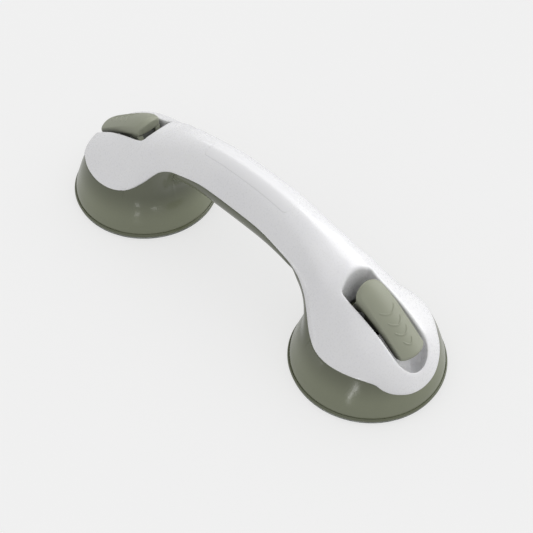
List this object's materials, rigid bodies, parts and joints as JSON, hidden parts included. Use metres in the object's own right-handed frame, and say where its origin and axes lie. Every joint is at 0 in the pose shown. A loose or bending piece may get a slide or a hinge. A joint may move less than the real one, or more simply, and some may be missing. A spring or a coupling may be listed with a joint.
{
  "type": "suction grab bar",
  "caption": "Arched grab bar with a domed suction head at each end, each locked to a smooth wall by a flip lever that draws a soft cup upwards.",
  "frame": {"origin": "on the wall plane, midway between the two suction cup axes", "axes": "+X along the grip, +Z away from the wall, +Y across the grip"},
  "size_m": [0.302, 0.098, 0.0884],
  "materials": {
    "white_shell": "moulded, glossy",
    "white_inlay": "moulded, glossy",
    "sage_shell": "moulded, glossy grey-green",
    "sage_ring": "moulded, glossy grey-green",
    "lever_plastic": "satin grey-green",
    "cup_rubber": "soft, pale translucent",
    "stud_plastic": "glass-filled, dark",
    "spring_steel": "drawn wire",
    "pin_steel": "ground",
    "plate_steel": "stamped",
    "fastener_steel": "zinc plated"
  },
  "bodies": {
    "shells": {"top_shell": "white_shell", "bottom_shell": "sage_shell", "grip_inlay": "white_inlay", "grip_screws": "fastener_steel", "left_rim_ring": "sage_ring", "left_suction_cup": "cup_rubber", "left_cam_plate": "plate_steel", "left_head_screws": "fastener_steel", "right_rim_ring": "sage_ring", "right_suction_cup": "cup_rubber", "right_cam_plate": "plate_steel", "right_head_screws": "fastener_steel"},
    "left_stud": {"left_cup_stud": "stud_plastic", "left_stud_spring": "spring_steel"},
    "left_lever": {"left_lever": "lever_plastic", "left_lever_pin": "pin_steel"},
    "right_stud": {"right_cup_stud": "stud_plastic", "right_stud_spring": "spring_steel"},
    "right_lever": {"right_lever": "lever_plastic", "right_lever_pin": "pin_steel"}
  },
  "joints": [
    {"name": "left_stud_slide", "type": "slide", "parent": "shells", "child": "left_stud", "axis": [0, 0, 1], "range_m": [-0.0035, 0], "deforming": ["left_stud_spring", "left_suction_cup"]},
    {"name": "left_lever_hinge", "type": "hinge", "parent": "left_stud", "child": "left_lever", "pos_m": [-0.102, 0, 0.0505], "axis": [0, 1, 0], "range_deg": [0, 90]},
    {"name": "right_stud_slide", "type": "slide", "parent": "shells", "child": "right_stud", "axis": [0, 0, 1], "range_m": [-0.0035, 0], "deforming": ["right_stud_spring", "right_suction_cup"]},
    {"name": "right_lever_hinge", "type": "hinge", "parent": "right_stud", "child": "right_lever", "pos_m": [0.102, 0, 0.0505], "axis": [0, -1, 0], "range_deg": [0, 90]}
  ],
  "couplings": [
    {"joint": "left_lever_hinge", "follows": "left_stud_slide", "rad_per_m": -448.79},
    {"joint": "right_lever_hinge", "follows": "right_stud_slide", "rad_per_m": -448.79}
  ]
}
